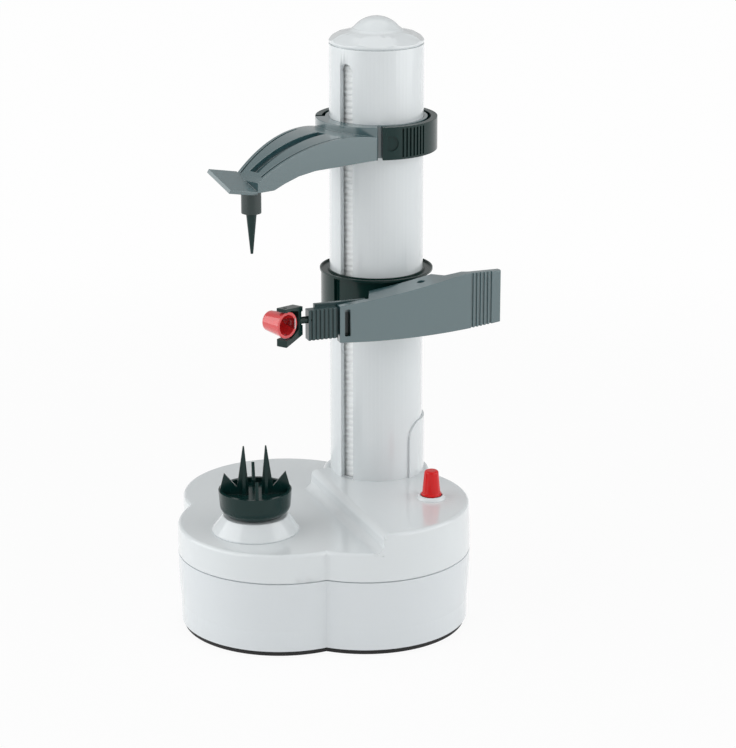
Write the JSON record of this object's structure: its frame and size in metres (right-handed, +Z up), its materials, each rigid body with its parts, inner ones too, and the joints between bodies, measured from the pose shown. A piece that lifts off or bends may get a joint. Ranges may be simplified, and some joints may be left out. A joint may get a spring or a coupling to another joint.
{
  "type": "electric potato peeler",
  "caption": "Electric peeler: lobed white base with spiked food holder, tall column, upper arm with top spike, and a sprung peeling arm with a red blade head.",
  "frame": {"origin": "centre of the base on the surface it rests on", "axes": "+Z up along the column, +X to the right seen from the front, +Y to the back"},
  "size_m": [0.1558, 0.14, 0.288],
  "materials": {
    "black": "black rubber",
    "brass": "turned brass",
    "cell": "plain printed sleeve",
    "dark": "matte black plastic",
    "gear": "natural nylon",
    "red": "glossy red plastic",
    "slate": "glossy dark grey green plastic",
    "steel": "plain steel",
    "white": "glossy white housing plastic"
  },
  "bodies": {
    "base": {"foot_pad": "black", "lower_housing": "white", "upper_housing": "white", "cell_1": "cell", "cell_2": "cell", "cell_3": "cell", "cell_4": "cell", "contact_left": "steel", "contact_right": "steel", "gear_shelf": "dark", "shelf_screws": "steel", "housing_screws": "steel", "motor": "steel", "cluster_axle": "steel", "idler_axle": "steel", "cone_seat": "white", "column": "white", "column_cap": "white", "rear_fairing": "white", "button_bezel": "white", "button_spring": "steel", "micro_switch": "dark"},
    "battery_door": {"battery_door": "white"},
    "holder": {"holder_gear": "gear", "holder_shaft": "steel", "food_holder": "slate"},
    "idler": {"idler_gear": "gear"},
    "cluster": {"cluster_gear": "gear"},
    "pinion": {"motor_shaft": "steel", "motor_pinion": "brass"},
    "screw": {"screw_gear": "gear", "lead_screw": "gear"},
    "button": {"start_button": "red"},
    "carriage": {"carriage_ring": "slate", "half_nut": "gear", "arm_pin": "steel", "arm_spring": "steel"},
    "peeling_arm": {"peeling_arm": "slate"},
    "slider": {"blade_slider": "slate"},
    "yoke": {"blade_yoke": "dark", "yoke_pin": "steel"},
    "blade_head": {"blade_holder": "red", "blade": "steel"},
    "upper_arm": {"upper_arm": "slate", "grip_spring": "steel"},
    "grip": {"collar_grip": "slate"},
    "spike": {"top_spike": "slate"}
  },
  "joints": [
    {"name": "food_holder_spin", "type": "hinge", "parent": "base", "child": "holder", "pos_m": [-0.0318, -0.0342, 0], "axis": [0, 0, 1], "continuous": true},
    {"name": "idler_spin", "type": "hinge", "parent": "base", "child": "idler", "pos_m": [0.00051, 0.0013, 0], "axis": [0, 0, 1], "continuous": true},
    {"name": "cluster_spin", "type": "hinge", "parent": "base", "child": "cluster", "pos_m": [-0.00196, -0.03106, 0], "axis": [0, 0, 1], "continuous": true},
    {"name": "pinion_spin", "type": "hinge", "parent": "base", "child": "pinion", "pos_m": [0.02508, -0.03831, 0], "axis": [0, 0, 1], "continuous": true},
    {"name": "screw_spin", "type": "hinge", "parent": "base", "child": "screw", "pos_m": [0.02608, 0.02941, 0], "axis": [0, 0, 1], "continuous": true},
    {"name": "start_press", "type": "slide", "parent": "base", "child": "button", "axis": [0, 0, -1], "range_m": [0, 0.0012], "stiffness_N_per_m": 400, "springref_m": -0.0004, "deforming": ["button_spring"]},
    {"name": "carriage_slide", "type": "slide", "parent": "base", "child": "carriage", "axis": [0, 0, 1], "range_m": [-0.045, 0.022]},
    {"name": "peeling_arm_swing", "type": "hinge", "parent": "carriage", "child": "peeling_arm", "pos_m": [0.0474, -0.00046, 0], "axis": [0, 0, 1], "range_deg": [0, 32], "stiffness_Nm_per_rad": 0.05, "springref_deg": -5.73},
    {"name": "blade_reach_slide", "type": "slide", "parent": "peeling_arm", "child": "slider", "axis": [-0.9379, -0.3469, 0], "range_m": [0, 0.006]},
    {"name": "yoke_roll", "type": "hinge", "parent": "slider", "child": "yoke", "pos_m": [-0.01197, -0.02935, 0.154], "axis": [0.9379, 0.3469, 0], "range_deg": [-18, 18]},
    {"name": "blade_swivel", "type": "hinge", "parent": "yoke", "child": "blade_head", "pos_m": [-0.01669, -0.0359, 0.154], "axis": [0, 0, 1], "range_deg": [-12, 12]},
    {"name": "upper_arm_slide", "type": "slide", "parent": "base", "child": "upper_arm", "axis": [0, 0, 1], "range_m": [-0.018, 0.028]},
    {"name": "grip_press", "type": "slide", "parent": "upper_arm", "child": "grip", "axis": [-0.673, -0.7396, 0], "range_m": [0, 0.0012], "stiffness_N_per_m": 500, "springref_m": -0.0004},
    {"name": "top_spike_spin", "type": "hinge", "parent": "upper_arm", "child": "spike", "pos_m": [-0.0318, -0.0342, 0], "axis": [0, 0, 1], "continuous": true},
    {"name": "battery_door_lift", "type": "slide", "parent": "base", "child": "battery_door", "axis": [0, 0, -1], "range_m": [0, 0.03]}
  ],
  "couplings": [
    {"joint": "idler_spin", "follows": "food_holder_spin", "ratio": -1},
    {"joint": "screw_spin", "follows": "food_holder_spin", "ratio": 1.7143},
    {"joint": "cluster_spin", "follows": "food_holder_spin", "ratio": -4},
    {"joint": "pinion_spin", "follows": "food_holder_spin", "ratio": 24}
  ]
}
